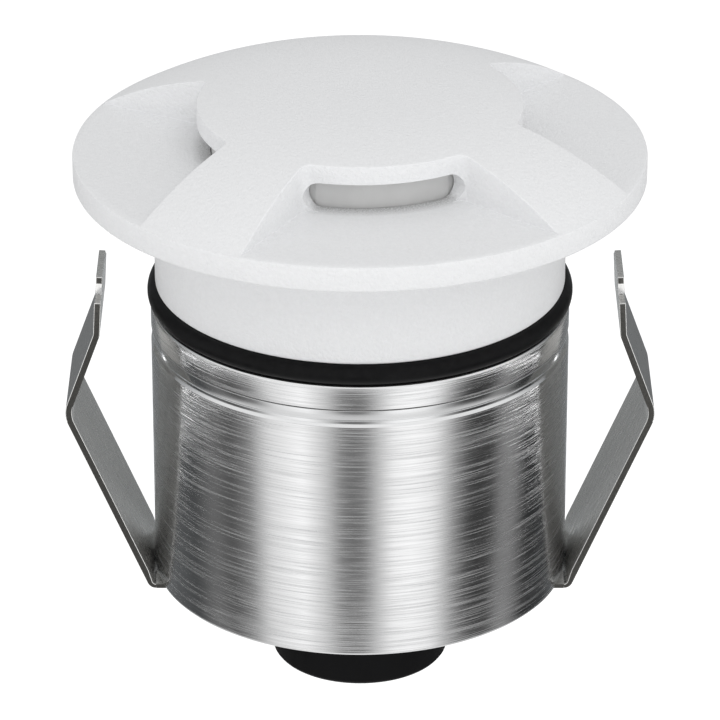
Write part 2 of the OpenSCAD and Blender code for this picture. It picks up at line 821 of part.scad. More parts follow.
module lock_nut() {
    color("black") translate([0, 0, can_floor_z + washer_t]) difference() {
        cylinder(r = nut_flats / 2 / cos(30), h = nut_h, $fn = 6);
        translate([0, 0, -cut]) cylinder(r = shank_r + thread_gap, h = nut_h + 2 * cut);
    }
}

module nut_washer() {
    color("dimgray") translate([0, 0, can_floor_z]) difference() {
        cylinder(d = nut_flats, h = washer_t);
        translate([0, 0, -cut]) cylinder(r = shank_r + thread_gap, h = washer_t + 2 * cut);
    }
}

module cable_grommet() {
    grommet_z = slip_z;
    color("dimgray") translate([0, 0, grommet_z]) difference() {
        cylinder(r = grommet_r, h = grommet_top_z - grommet_z);
        translate([0, 0, -cut])
            cylinder(r = cable_r + hole_gap, h = grommet_top_z - grommet_z + 2 * cut);
    }
}

module slip_washer() {
    color("silver") translate([0, 0, gland_floor_z]) difference() {
        cylinder(r = gland_neck_r - hole_gap, h = slip_t);
        translate([0, 0, -cut]) cylinder(r = cable_way_r, h = slip_t + 2 * cut);
    }
}

module gland_cap() {
    top_z = flange_foot_z - gland_cap_gap;
    color("black") difference() {
        rotate_extrude() polygon([
            [cable_way_r + 2 * gland_edge, gland_end_z],
            [gland_r - gland_edge, gland_end_z],
            [gland_r, gland_end_z + gland_edge],
            [gland_r, top_z],
            [gland_neck_r + thread_gap, top_z],
            [gland_neck_r + thread_gap, gland_floor_z],
            [cable_way_r + cable_gap, gland_floor_z],
            [cable_way_r + cable_gap, gland_end_z + gland_edge]]);
    }
}

trim_cap();
diffuser();
diffuser_gasket();
retaining_ring();
neck_seal();
can();
heat_sink();
snap_ring();
thermal_pad();
led_board();
led_chips();
board_screws();
reflector();
driver_spacers();
driver_board();
driver_screws();
capacitor();
inductor_core();
inductor_winding();
rectifier();
driver_chip();
terminal_block();
terminal_screws();
led_leads();
spring_strap();
left_spring_arm();
right_spring_arm();
gland_body();
lock_nut();
nut_washer();
cable_grommet();
slip_washer();
gland_cap();
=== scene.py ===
import math

import bpy
import bmesh
from mathutils import Matrix, Vector
from mathutils.geometry import delaunay_2d_cdt


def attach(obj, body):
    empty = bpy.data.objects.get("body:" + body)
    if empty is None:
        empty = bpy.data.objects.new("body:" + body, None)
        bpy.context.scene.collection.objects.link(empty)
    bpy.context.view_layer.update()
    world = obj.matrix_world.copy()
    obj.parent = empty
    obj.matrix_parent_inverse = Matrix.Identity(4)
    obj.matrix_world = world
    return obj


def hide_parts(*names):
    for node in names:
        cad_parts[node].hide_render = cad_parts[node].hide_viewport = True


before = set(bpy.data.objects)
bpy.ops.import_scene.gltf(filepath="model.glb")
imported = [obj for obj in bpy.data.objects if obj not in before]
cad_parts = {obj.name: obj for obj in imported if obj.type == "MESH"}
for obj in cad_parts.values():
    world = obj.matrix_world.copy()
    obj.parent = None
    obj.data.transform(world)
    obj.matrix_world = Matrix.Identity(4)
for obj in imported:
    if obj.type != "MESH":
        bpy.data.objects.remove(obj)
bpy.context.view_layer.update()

mm = 0.001
weld = 0.004 * mm
print("frame loaded")


# Small helpers for working in object and edit mode
def deselectAll():
    if bpy.context.object and bpy.context.object.mode != "OBJECT":
        bpy.ops.object.mode_set(mode="OBJECT")
    bpy.ops.object.select_all(action="DESELECT")


def pick(piece):
    deselectAll()
    piece.select_set(True)
    bpy.context.view_layer.objects.active = piece


def editAll(piece):
    pick(piece)
    bpy.ops.object.mode_set(mode="EDIT")
    bpy.ops.mesh.select_all(action="SELECT")


def cleanUp(piece, angle=30):
    editAll(piece)
    bpy.ops.mesh.remove_doubles(threshold=weld)
    bpy.ops.mesh.normals_make_consistent(inside=False)
    bpy.ops.object.mode_set(mode="OBJECT")
    bpy.ops.object.shade_smooth_by_angle(angle=math.radians(angle))


def applyModifiers(piece):
    pick(piece)
    for modifier in list(piece.modifiers):
        bpy.ops.object.modifier_apply(modifier=modifier.name)


# Joins the second piece into the first
def joinInto(piece, other):
    pick(piece)
    other.select_set(True)
    bpy.ops.object.join()


# Cuts one piece out of another and removes the cutter
def cutAway(piece, cutter):
    pick(piece)
    cut = piece.modifiers.new("cut", "BOOLEAN")
    cut.operation, cut.solver, cut.object = "DIFFERENCE", "EXACT", cutter
    applyModifiers(piece)
    bpy.data.objects.remove(cutter)


# A direction in the plane, turning from the first axis to the second
def direction(degrees):
    return Vector((math.cos(math.radians(degrees)), math.sin(math.radians(degrees))))


# A line of edges: a small plane is merged to one point, which is then extruded along the line
def drawLine(name, points, closed=False):
    deselectAll()
    bpy.ops.mesh.primitive_plane_add(size=mm)
    piece = bpy.context.active_object
    piece.name = piece.data.name = name
    bpy.ops.object.mode_set(mode="EDIT")
    bpy.ops.mesh.select_all(action="SELECT")
    bpy.ops.mesh.merge(type="CENTER")
    bpy.ops.transform.translate(value=Vector(points[0]) * mm)
    if closed:
        points = points + [points[0]]
    for here, there in zip(points, points[1:]):
        step = (Vector(there) - Vector(here)) * mm
        bpy.ops.mesh.extrude_region_move(TRANSFORM_OT_translate={"value": step})
    bpy.ops.mesh.select_all(action="SELECT")
    bpy.ops.mesh.remove_doubles(threshold=weld)
    bpy.ops.object.mode_set(mode="OBJECT")
    return piece


def newPiece(name, mesh):
    data = bpy.data.meshes.new(name)
    mesh.to_mesh(data)
    mesh.free()
    piece = bpy.data.objects.new(name, data)
    bpy.context.collection.objects.link(piece)
    return piece


# Corners given as (radius, height, rounding) become a smooth path
def roundCorners(corners, steps=5, closed=True):
    path = []
    most = 0.49  # the share of a side that one rounding may take
    last = len(corners) - 1
    for i, (x, z, rounding) in enumerate(corners):
        here = Vector((x, z))
        if rounding <= 0 or (not closed and i in (0, last)):
            path.append(here)
            continue
        back = Vector(corners[i - 1][:2]) - here
        ahead = Vector(corners[(i + 1) % len(corners)][:2]) - here
        half = back.angle(ahead) / 2
        reach = min(rounding / math.tan(half), back.length * most, ahead.length * most)
        start, end = here + back.normalized() * reach, here + ahead.normalized() * reach
        middle = here + (back.normalized() + ahead.normalized()).normalized() * (reach / math.cos(half))
        turn = -(start - middle).angle_signed(end - middle)
        for k in range(steps + 1):
            path.append(middle + Matrix.Rotation(turn * k / steps, 2) @ (start - middle))
    return path


def spinRound(piece, steps):
    editAll(piece)
    bpy.ops.mesh.spin(steps=steps, angle=math.tau, center=(0, 0, 0), axis=(0, 0, 1))
    bpy.ops.mesh.select_all(action="SELECT")
    bpy.ops.mesh.remove_doubles(threshold=weld)
    bpy.ops.object.mode_set(mode="OBJECT")


# A turned piece from corners given as (radius, height, rounding)
def turnPiece(name, corners, steps, closed=True, angle=30):
    path = roundCorners(corners, closed=closed)
    piece = drawLine(name, [(p.x, 0, p.y) for p in path], closed)
    spinRound(piece, steps)
    cleanUp(piece, angle)
    return piece


# Lengths are in mm, corners are (radius, height, rounding), headings are degrees from +X
cap = {
    "domeRadius": 32.25, "rimHeight": 3.0, "rise": 7.0, "power": 2.8, "columns": 264, "smooth": 35,
    "headings": (-170.75, -80.75, 9.25), "halfOutlet": 24, "tip": 4.9737, "splay": 38.2,
    "hubRadius": 18.4, "cornerRound": 1.2, "wallSteps": 20, "gather": 1.15, "cornerSteps": 6,
    "hubSteps": 20, "lipRound": 0.14, "lipShare": 0.45, "lipReach": 1.8,
    "footRound": 0.12, "footShare": 0.3, "footReach": 2,
    "roundSteps": 5, "wallRows": 6, "ringStep": 0.8, "clear": 0.34,
    "ringPoints": [(14, 264), (7, 132), (3, 66), (0, 24)],
    "windowLow": 3.006, "windowHigh": 6.45, "windowSpan": 28.6, "windowReach": (16.0, 17.6, 20.2),
    "windowSteps": 40, "windowEndSteps": 12,
    "outside": [(32.25, 3, 0), (32.43, 2.91, 0), (32.5, 2.7, 0), (32.5, 0, 0.3), (23.45, 0, 0.3),
                (23.45, -12.95, 0.3), (21.45, -12.95, 0), (21.45, -15.95, 0)],
    "threadTop": -16.5, "threadRadius": 22.5, "threadDepth": 0.55, "threadRound": 0.12,
    "pitch": 1.5, "turns": 4,
    "inside": [(21.95, -22.5, 0.2), (19.9, -22.5, 0.2), (19.9, -0.8, 0), (16.9, -0.8, 0.15),
               (16.9, 7.678, 0.3), (12, 7.678, 0), (6, 7.678, 0), (0, 7.678, 0)],
}


def domeHeight(r):
    return cap["rimHeight"] + cap["rise"] * (1 - (r / cap["domeRadius"]) ** cap["power"])


# Plan of one outlet's wall in its own frame: (point, direction towards the dome)
def wallPlan():
    lift = cap["tip"] * math.sin(math.radians(cap["splay"]))  # how far the wall's line passes from the axis
    cornerOut = cap["hubRadius"] + cap["cornerRound"]
    run = math.sqrt(cornerOut ** 2 - (lift + cap["cornerRound"]) ** 2)
    farRun = math.sqrt(cap["domeRadius"] ** 2 - lift ** 2)
    wall, towards = direction(cap["splay"]), direction(cap["splay"] + 90)
    corner = wall * run - towards * (lift + cap["cornerRound"])
    half = []
    for k in range(cap["wallSteps"]):  # from the rim inwards, closer together near the rim
        share = (k / cap["wallSteps"]) ** cap["gather"]
        half.append((wall * (farRun + (run - farRun) * share) - towards * lift, towards))
    start, end = towards, -corner.normalized()
    sweep = end.angle_signed(start)
    for k in range(cap["cornerSteps"] + 1):
        out = Matrix.Rotation(sweep * k / cap["cornerSteps"], 2) @ start
        half.append((corner + out * cap["cornerRound"], out))
    hubTurn = math.atan2(corner.y, corner.x)
    for k in range(1, cap["hubSteps"] + 1):
        angle = hubTurn * (1 - k / cap["hubSteps"])
        out = Vector((math.cos(angle), math.sin(angle)))
        half.append((out * cap["hubRadius"], -out))
    flip = Matrix(((1, 0), (0, -1)))
    return half + [(flip @ p, flip @ n) for p, n in reversed(half[:-1])]


def curve3(a, b, c, t):
    return a * (1 - t) ** 2 + b * 2 * t * (1 - t) + c * t ** 2


# One station's section across the wall, from the dome down to the outlet's floor: (offset, height)
def wallSection(point, out):
    floor, steps, wallRows = cap["rimHeight"], cap["roundSteps"], cap["wallRows"]
    height = domeHeight(point.length) - floor
    lip = min(cap["lipRound"], cap["lipShare"] * height)
    foot = min(cap["footRound"], cap["footShare"] * height)
    reach = cap["lipReach"] * lip
    rows = [(reach, domeHeight((point + out * reach).length))]
    high = domeHeight((point + out * lip).length)
    for k in range(steps + 1):
        t = k / steps
        rows.append((curve3(lip, 0, 0, t), curve3(high, floor + height, floor + height - lip, t)))
    for k in range(1, wallRows):
        rows.append((0, floor + height - lip + (foot + lip - height) * k / wallRows))
    for k in range(steps):
        t = k / (steps - 1)
        rows.append((curve3(0, 0, -foot, t), curve3(floor + foot, floor, floor, t)))
    rows.append((-cap["footReach"] * foot, floor))
    return rows


def turned(point, degrees):
    return Matrix.Rotation(math.radians(degrees), 2) @ point


def inside(point, outline):
    hit = False
    for (x0, y0), (x1, y1) in zip(outline, outline[1:] + outline[:1]):
        if (y0 > point.y) != (y1 > point.y) and point.x < (x1 - x0) * (point.y - y0) / (y1 - y0) + x0:
            hit = not hit
    return hit


# The dome with its outlets: walls swept along their plan, dome and floors filled between them
def capTop():
    stations = wallPlan()
    mesh = bmesh.new()
    columns = cap["columns"]
    first = cap["headings"][2]
    rimLine = [turned(Vector((cap["domeRadius"], 0)), first + 360 * k / columns) for k in range(columns)]
    domeEdges, floorEdges = [], []
    for heading in cap["headings"]:
        grid = []
        for point, out in stations:
            row = []
            for offset, z in wallSection(point, out):
                flat = turned(point + out * offset, heading)
                row.append(mesh.verts.new((flat.x, flat.y, z)))
            grid.append(row)
        for left, right in zip(grid, grid[1:]):
            for a, b, c, d in zip(left, right, right[1:], left[1:]):
                mesh.faces.new((a, b, c, d))
        domeEdges.append([Vector(row[0].co[:2]) for row in grid])
        floorEdges.append([Vector(row[-1].co[:2]) for row in grid])

    half = cap["halfOutlet"]  # columns from an outlet's middle to the end of its wall
    ends = [(round((h - first) * columns / 360) + columns) % columns for h in cap["headings"]]
    domeLoop, floorLoops = [], []
    for line, middle in zip(floorEdges, ends):
        arc = [rimLine[(middle - half + k) % columns] for k in range(1, 2 * half)]
        # the plan runs from the wall at the larger angle to the other one
        floorLoops.append(line + arc)
    for n, (line, middle) in enumerate(zip(domeEdges, ends)):
        nextMiddle = ends[(n + 1) % len(ends)]
        domeLoop += list(reversed(line))
        k = middle + half
        while (k + 1) % columns != (nextMiddle - half) % columns:
            k += 1
            domeLoop.append(rimLine[k % columns])

    rings = int(cap["domeRadius"] / cap["ringStep"])
    free = [Vector((0.0, 0.0))]
    for ring in range(1, rings):
        r = cap["domeRadius"] * ring / rings
        count = next(points for low, points in cap["ringPoints"] if r > low)
        free += [turned(Vector((r, 0)), first + 360 * k / count) for k in range(count)]

    def fill(loops, flat):
        kept = []
        walls = [p for loop in loops for p in loop]
        for p in free:
            if any(inside(p, loop) for loop in loops):
                if min((p - w).length for w in walls) > cap["clear"]:
                    kept.append(p)
        points, edges = [], []
        for loop in loops:
            start = len(points)
            points += loop
            edges += [(start + k, start + (k + 1) % len(loop)) for k in range(len(loop))]
        points += kept
        found, _, faces, *_ = delaunay_2d_cdt(points, edges, [], 0, 1e-5)
        heights = [cap["rimHeight"] if flat else domeHeight(p.length) for p in found]
        verts = [mesh.verts.new((p.x, p.y, z)) for p, z in zip(found, heights)]
        for face in faces:
            centre = sum((found[i] for i in face), Vector((0.0, 0.0))) / len(face)
            if any(inside(centre, loop) for loop in loops):
                mesh.faces.new([verts[i] for i in face])

    fill([domeLoop], False)
    fill(floorLoops, True)
    for vert in mesh.verts:
        vert.co *= mm
    return newPiece("cap_top", mesh)


# A slot with round ends, swept round the axis, that cuts one window
def windowCutter(heading):
    low, high = cap["windowLow"], cap["windowHigh"]
    half, middle = (high - low) / 2, (low + high) / 2
    steps, endSteps = cap["windowSteps"], cap["windowEndSteps"]
    reach = cap["windowSpan"] - math.degrees(half / cap["hubRadius"])
    rightEnd = []
    for k in range(endSteps + 1):
        turn = math.pi * k / endSteps - math.pi / 2
        rightEnd.append((reach + math.degrees(half * math.cos(turn) / cap["hubRadius"]),
                         middle + half * math.sin(turn)))
    top = [(reach - 2 * reach * k / steps, high) for k in range(1, steps)]
    foot = [(x, low) for x, _ in reversed(top)]
    outline = rightEnd + top + [(-x, z) for x, z in reversed(rightEnd)] + foot
    mesh = bmesh.new()
    loops = []
    for r in cap["windowReach"]:
        loops.append([mesh.verts.new(((direction(x + heading) * r).to_3d() + Vector((0, 0, z))) * mm)
                      for x, z in outline])
    for inner, outer in zip(loops, loops[1:]):
        for k in range(len(outline)):
            n = (k + 1) % len(outline)
            mesh.faces.new((inner[k], inner[n], outer[n], outer[k]))
    mesh.faces.new(loops[0])
    mesh.faces.new(loops[-1])
    bmesh.ops.triangulate(mesh, faces=[f for f in mesh.faces if len(f.verts) > 4])
    bmesh.ops.recalc_face_normals(mesh, faces=mesh.faces)
    return newPiece("window_cutter", mesh)


def makeCap():
    piece = capTop()
    piece.name = piece.data.name = "cap_shell"
    thread = []
    for k in range(cap["turns"]):
        z = cap["threadTop"] - k * cap["pitch"]
        thread += [(cap["threadRadius"], z, cap["threadRound"]),
                   (cap["threadRadius"] - cap["threadDepth"], z - cap["pitch"] / 2, cap["threadRound"])]
    path = roundCorners(cap["outside"] + thread + cap["inside"], closed=False)
    first = direction(cap["headings"][2])
    low = drawLine("cap_low", [(p.x * first.x, p.x * first.y, p.y) for p in path])
    spinRound(low, cap["columns"])
    joinInto(piece, low)
    cleanUp(piece, cap["smooth"])
    for heading in cap["headings"]:
        cutAway(piece, windowCutter(heading))
    return piece


capShell = makeCap()
print("cap made:", len(capShell.data.polygons), "faces")


seal = {
    "radius": 23.05, "section": 1.3, "middle": -14.175, "flat": 1.225,
    "points": 36, "steps": 192, "smooth": 50,
}


# The round section is pressed flat above and below
def makeSeal():
    line = []
    for k in range(seal["points"]):
        turn = math.tau * (k + 0.5) / seal["points"]
        z = max(-seal["flat"], min(seal["flat"], seal["section"] * math.sin(turn)))
        line.append((seal["radius"] + seal["section"] * math.cos(turn), 0, seal["middle"] + z))
    piece = drawLine("seal_ring", line, True)
    spinRound(piece, seal["steps"])
    cleanUp(piece, seal["smooth"])
    return piece


can = {
    "steps": 256, "smooth": 32,
    "corners": [
        (6.08, -47.3, 0.1), (21.8, -47.3, 0.6), (21.8, -28, 0.1), (22.58, -28, 0), (22.58, -25.5, 0),
        (23.08, -25.5, 0), (23.08, -24.5, 0), (22.58, -24.5, 0), (22.58, -15.4, 0.25),
        (24, -15.4, 0.28), (24, -18.26, 0.04), (23.86, -18.3, 0), (23.86, -18.4, 0), (23.97, -18.44, 0.03),
        (23.79, -19.6, 0.02), (23.74, -19.64, 0), (23.74, -19.7, 0), (23.82, -19.74, 0.02),
        (23.77, -20.1, 0.02), (23.82, -20.14, 0.02), (24, -20.42, 0.08),
        (24, -49.3, 0.34), (6.08, -49.3, 0.1)],
    "grooveTop": -18.29, "bandTop": -18.42, "bandFoot": -20.4, "outside": 23.5, "flatFace": 0.9,
}
glandFlange = {
    "steps": 128,
    "corners": [
        (3.9, -42.75, 0.2), (5.7, -42.75, 0.15), (6, -43.1, 0.1), (6, -49.8, 0.1), (10.25, -49.8, 0.3),
        (10.25, -52.3, 0.3), (8, -52.3, 0.2), (8, -58.3, 0.3), (6.2, -58.3, 0.1), (6.2, -53.3, 0),
        (3.9, -53.3, 0)],
}
glandNut = {
    "steps": 128,
    "corners": [
        (4.5, -60.9, 0.5), (9.95, -60.9, 0.2), (10.25, -60.5, 0.25), (10.25, -52.6, 0.35),
        (8.08, -52.6, 0.1), (8.08, -59.5, 0.1), (4.3, -59.5, 0.1), (4.3, -60.6, 0.2)],
}
diffuserCup = {
    "steps": 192,
    "corners": [
        (0, 7.178, 0), (8, 7.178, 0), (16.66, 7.178, 0.8), (16.66, -0.9, 0.1), (16.7, -1.6, 0),
        (19.7, -1.6, 0.2), (19.7, -3.4, 0.2), (15.1, -3.4, 0.2), (15.1, 5.578, 0.6), (8, 5.578, 0),
        (0, 5.578, 0)],
    "pad": [(16.0, 2.4, 0), (16.8, 2.4, 0.12), (16.8, 6.9, 0.2), (16.0, 6.9, 0)],
    "padSpan": 52.4, "padRoundSteps": 4, "padSteps": 40,
}

sealRing = makeSeal()
canShell = turnPiece("can_shell", can["corners"], can["steps"], angle=can["smooth"])
flangePiece = turnPiece("gland_flange", glandFlange["corners"], glandFlange["steps"])
nutPiece = turnPiece("gland_nut", glandNut["corners"], glandNut["steps"])


# The diffuser's cup, with one raised window pad behind each slot
def makeCup():
    piece = turnPiece("diffuser_cup", diffuserCup["corners"], diffuserCup["steps"], closed=False)
    path = roundCorners(diffuserCup["pad"], diffuserCup["padRoundSteps"])
    for outlet in cap["headings"]:
        start = direction(outlet - diffuserCup["padSpan"] / 2)
        pad = drawLine("pad", [(p.x * start.x, p.x * start.y, p.y) for p in path], True)
        editAll(pad)
        bpy.ops.mesh.edge_face_add()
        bpy.ops.mesh.spin(steps=diffuserCup["padSteps"], angle=-math.radians(diffuserCup["padSpan"]),
                          center=(0, 0, 0), axis=(0, 0, 1))  # a negative angle turns to larger headings
        bpy.ops.object.mode_set(mode="OBJECT")
        cleanUp(pad)
        pick(piece)
        fuse = piece.modifiers.new("fuse", "BOOLEAN")
        fuse.operation, fuse.solver, fuse.object = "UNION", "EXACT", pad
        applyModifiers(piece)
        bpy.data.objects.remove(pad)
    cleanUp(piece)
    return piece


cupPiece = makeCup()
print("turned pieces made")


# The strip's leans are angles from the horizontal, from the foot outwards and up
strip = {
    "half": 7, "thick": 0.5, "footX": 23.72, "canEnd": -49.3, "footBend": 0.55, "lean": 67,
    "armLength": 22.34, "apexBend": 3.2, "upperLean": 110, "upperLength": 9.23, "lipBend": 0.5,
    "lipLean": 93, "lipLength": 5.65, "tabHalf": 3.75, "tabHeight": 1.75, "tabRound": 1.2, "tabSteps": 8,
    "swell": 0.25, "swellLength": 2.14, "swellSteps": (0.25, 0.5, 0.8, 1.1, 1.5),
    "bendSteps": 14, "columns": 8, "cutterLift": 1.0, "cutterDepth": 2.6, "cutterMargin": 1,
    "edge": 0.22, "sharp": 40, "touch": 0.01, "armSegments": 3, "armSmooth": 18,
    "padRadius": 9.8, "padSteps": 24, "sideSteps": 4, "hole": 6.08, "holeSteps": 96,
    "strapSegments": 2, "strapSmooth": 30,
    # how far a face's normal has to point sideways or upwards to get its finish: the dark cut face, the
    # painted highlight or the painted shade
    "cutFace": 0.97, "roundFace": 0.2, "litFace": -0.08, "apexFace": 0.45,
}


# The side towards the can of a line that leans so far
def innerSide(degrees):
    return direction(degrees + 90)


def bend(centre, radius, low, high):
    steps = strip["bendSteps"]
    return [centre - innerSide(low + (high - low) * k / steps) * radius for k in range(steps + 1)]


# Points of the strip's inner face, from the foot to the tab's top
def innerPath():
    t, lean, upper, lip = strip["thick"], strip["lean"], strip["upperLean"], strip["lipLean"]
    foot = Vector((strip["footX"], strip["canEnd"] + strip["footBend"]))
    apex = foot + direction(lean) * strip["armLength"]
    apex += innerSide(lean) * (strip["apexBend"] - strip["footBend"])
    lipMiddle = apex + direction(upper) * strip["upperLength"]
    lipMiddle -= innerSide(upper) * (strip["apexBend"] + t + strip["lipBend"])
    lipFoot = lipMiddle + innerSide(lip) * (strip["lipBend"] + t)
    path = bend(foot, strip["footBend"], 0, lean)
    path += [path[-1] + direction(lean) * step for step in strip["swellSteps"]]
    path += bend(apex, strip["apexBend"], lean, upper)
    path += bend(lipMiddle, -strip["lipBend"] - t, upper, lip)
    top = lipFoot + direction(lip) * strip["lipLength"]
    return path + [top], lipFoot


# What is cut from one side of the tab, in the lip's own plane: along the lip and across it
def tabSide():
    shoulder = strip["lipLength"] - strip["tabHeight"]
    top, outside = strip["lipLength"] + strip["cutterMargin"], strip["half"] + strip["cutterMargin"]
    r, steps = strip["tabRound"], strip["tabSteps"]
    middle = Vector((shoulder + r, strip["tabHalf"] + r))
    rounding = [middle - direction(90 * k / steps) * r for k in range(steps + 1)]
    rest = [(top, strip["tabHalf"]), (top, outside), (shoulder, outside)]
    return [tuple(p) for p in rounding] + rest


# The strip shows more wall than its sheet has: the inner side rises from the foot bend on
def raiseInner(piece, path):
    along = [0]
    for here, there in zip(path, path[1:]):
        along.append(along[-1] + (there - here).length)
    for vertex in piece.data.vertices:
        here = Vector((vertex.co.x, vertex.co.z)) / mm
        k = min(range(len(path)), key=lambda n: (path[n] - here).length)
        if (path[k] - here).length < strip["touch"]:
            way = (path[min(k + 1, len(path) - 1)] - path[max(k - 1, 0)]).normalized()
            rise = strip["swell"] * min(1, along[k] / strip["swellLength"]) * mm
            vertex.co += Vector((-way.y, 0, way.x)) * rise


def makeArm(name):
    path, lipFoot = innerPath()
    half = strip["half"]
    piece = drawLine(name, [(p.x, -half, p.y) for p in path])
    editAll(piece)
    step = 2 * half / strip["columns"] * mm
    for _ in range(strip["columns"]):
        bpy.ops.mesh.extrude_region_move(TRANSFORM_OT_translate={"value": (0, step, 0)})
    bpy.ops.object.mode_set(mode="OBJECT")
    cleanUp(piece)
    # the wall's thickness goes to the side away from the can
    towardsCan = sum(face.normal.x for face in piece.data.polygons) < 0
    solid = piece.modifiers.new("thickness", "SOLIDIFY")
    solid.thickness = strip["thick"] * mm
    solid.offset = -1 if towardsCan else 1
    solid.use_even_offset = True
    applyModifiers(piece)
    raiseInner(piece, path)
    cleanUp(piece)
    lip, side = direction(strip["lipLean"]), innerSide(strip["lipLean"])
    for sign in (1, -1):
        outline = []
        for along, across in tabSide():
            flat = lipFoot + lip * along + side * strip["cutterLift"]
            outline.append((flat.x, sign * across, flat.y))
        cutter = drawLine("tab_cutter", outline, True)
        editAll(cutter)
        bpy.ops.mesh.edge_face_add()
        depth = Vector((-side.x, 0, -side.y)) * strip["cutterDepth"] * mm
        bpy.ops.mesh.extrude_region_move(TRANSFORM_OT_translate={"value": depth})
        bpy.ops.mesh.select_all(action="SELECT")
        bpy.ops.mesh.normals_make_consistent(inside=False)
        bpy.ops.object.mode_set(mode="OBJECT")
        cutAway(piece, cutter)
    roundEdges(piece, strip["armSegments"], strip["armSmooth"])
    return piece


# Rounds the strip's sharp edges, but not where the arms meet the part under the can
def roundEdges(piece, segments, smooth):
    pick(piece)
    mesh = bmesh.new()
    mesh.from_mesh(piece.data)
    bmesh.ops.remove_doubles(mesh, verts=mesh.verts, dist=weld)
    chosen = []
    for edge in mesh.edges:
        if len(edge.link_faces) == 2 and edge.calc_face_angle(0) > math.radians(strip["sharp"]):
            if all(abs(abs(v.co.x) / mm - strip["footX"]) > strip["touch"] for v in edge.verts):
                chosen.append(edge)
    bmesh.ops.bevel(mesh, geom=chosen, offset=strip["edge"] * mm, segments=segments, profile=0.5,
                    affect="EDGES", clamp_overlap=True)
    mesh.to_mesh(piece.data)
    mesh.free()
    cleanUp(piece, smooth)


rightArm = makeArm("strip_arm_right")
pick(rightArm)
bpy.ops.object.duplicate()
leftArm = bpy.context.active_object
leftArm.name = leftArm.data.name = "strip_arm_left"
editAll(leftArm)
bpy.ops.transform.mirror(orient_type="GLOBAL", constraint_axis=(True, False, False),
                         center_override=(0, 0, 0))
bpy.ops.object.mode_set(mode="OBJECT")
cleanUp(leftArm, strip["armSmooth"])


# The part under the can: a straight strip with a round pad and a hole at the gland
def makeStrap():
    half, pad, foot = strip["half"], strip["padRadius"], strip["footX"]
    steps, sideSteps = strip["padSteps"], strip["sideSteps"]
    cross = math.sqrt(pad ** 2 - half ** 2)  # where the straight side meets the pad
    arc = math.degrees(math.atan2(half, cross))
    outline = [(foot, -half), (foot, half)]
    outline += [(foot - (foot - cross) * k / sideSteps, half) for k in range(1, sideSteps)]
    outline += [tuple(direction(arc + (180 - 2 * arc) * k / steps) * pad) for k in range(steps + 1)]
    outline += [(-cross - (foot - cross) * k / sideSteps, half) for k in range(1, sideSteps)]
    outline += [(-x, -y) for x, y in outline]
    z = strip["canEnd"] - strip["thick"]
    seen, line = set(), []
    for x, y in outline:
        key = (round(x, 3), round(y, 3))
        if key not in seen:
            seen.add(key)
            line.append((x, y, z))
    piece = drawLine("strip_strap", line, True)
    editAll(piece)
    bpy.ops.mesh.select_all(action="DESELECT")
    bpy.ops.mesh.primitive_circle_add(vertices=strip["holeSteps"], radius=strip["hole"] * mm,
                                      location=(0, 0, z * mm))
    bpy.ops.mesh.select_all(action="SELECT")
    bpy.ops.mesh.fill()
    bpy.ops.mesh.select_all(action="SELECT")
    bpy.ops.mesh.extrude_region_move(TRANSFORM_OT_translate={"value": (0, 0, strip["thick"] * mm)})
    bpy.ops.object.mode_set(mode="OBJECT")
    cleanUp(piece)
    roundEdges(piece, strip["strapSegments"], strip["strapSmooth"])
    return piece


strap = makeStrap()
print("spring strip made")


# A material with nothing but its output node
def blankMaterial(name):
    material = bpy.data.materials.new(name)
    material.use_nodes = True
    nodes, links = material.node_tree.nodes, material.node_tree.links
    nodes.clear()
    return material, nodes, links, nodes.new("ShaderNodeOutputMaterial")


# How far a point lies from the Z axis
def axisDistance(nodes, links, place):
    flat, length = nodes.new("ShaderNodeVectorMath"), nodes.new("ShaderNodeVectorMath")
    flat.operation, flat.inputs[1].default_value = "MULTIPLY", (1, 1, 0)
    links.new(place.outputs["Object"], flat.inputs[0])
    length.operation = "LENGTH"
    links.new(flat.outputs["Vector"], length.inputs[0])
    return length.outputs["Value"]


# Noise on object coordinates, stretched by its three scales (per mm)
# A first scale of 0 gives rings about the Z axis, as close as the second scale says
def grainNode(nodes, links, scales, detail=4):
    place = nodes.new("ShaderNodeTexCoord")
    mapping = nodes.new("ShaderNodeMapping")
    if scales[0] == 0:
        mapping.inputs["Scale"].default_value = (0, scales[1] / mm, scales[2] / mm)
        parts, length = nodes.new("ShaderNodeSeparateXYZ"), axisDistance(nodes, links, place)
        joined = nodes.new("ShaderNodeCombineXYZ")
        links.new(place.outputs["Object"], parts.inputs["Vector"])
        links.new(length, joined.inputs["Y"])
        links.new(parts.outputs["Z"], joined.inputs["Z"])
        links.new(joined.outputs["Vector"], mapping.inputs["Vector"])
    else:
        mapping.inputs["Scale"].default_value = [s / mm for s in scales]
        links.new(place.outputs["Object"], mapping.inputs["Vector"])
    noise = nodes.new("ShaderNodeTexNoise")
    noise.inputs["Scale"].default_value = 1
    noise.inputs["Detail"].default_value = detail
    noise.inputs["Roughness"].default_value = 0.55
    links.new(mapping.outputs["Vector"], noise.inputs["Vector"])
    return noise.outputs["Fac"]


# Maps a value from one range to another and stops at its ends
def spread(nodes, links, value, low, high, fromLow=0.3, fromHigh=0.7):
    node = nodes.new("ShaderNodeMapRange")
    node.inputs["From Min"].default_value = fromLow
    node.inputs["From Max"].default_value = fromHigh
    node.inputs["To Min"].default_value = low
    node.inputs["To Max"].default_value = high
    links.new(value, node.inputs["Value"])
    return node.outputs["Result"]


def mathNode(nodes, links, operation, *values):
    node = nodes.new("ShaderNodeMath")
    node.operation = operation
    for place, value in zip(node.inputs, values):
        if isinstance(value, float):
            place.default_value = value
        else:
            links.new(value, place)
    return node.outputs["Value"]


